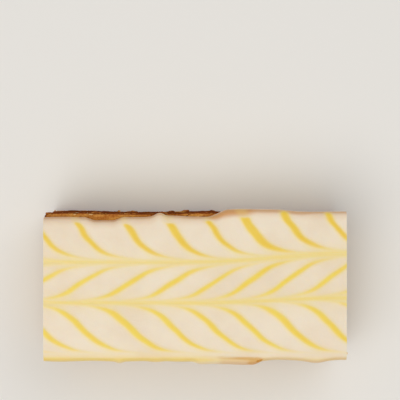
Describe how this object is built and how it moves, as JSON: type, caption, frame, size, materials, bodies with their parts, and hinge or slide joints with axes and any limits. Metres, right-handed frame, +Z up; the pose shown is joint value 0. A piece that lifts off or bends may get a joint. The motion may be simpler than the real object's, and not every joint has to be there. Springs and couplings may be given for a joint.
{
  "type": "mille feuille slice",
  "caption": "Rectangular mille feuille slice: flaky pastry below and above set custard, with feathered white and yellow icing over the top.",
  "frame": {"origin": "under the middle of the slice's box, on the surface that it stands on", "axes": "+X along the slice from cut end to cut end, +Y across it towards its back long side, +Z up"},
  "size_m": [0.092, 0.0474, 0.0275],
  "materials": {
    "baked_pastry": "dry flaky browned puff pastry",
    "set_custard": "smooth moist pale yellow set custard",
    "feathered_icing": "set fondant icing, soft satin, warm white with feathered yellow lines"
  },
  "bodies": {
    "root": {"pastry_base": "baked_pastry", "custard": "set_custard", "pastry_lid": "baked_pastry", "icing": "feathered_icing"}
  },
  "joints": []
}
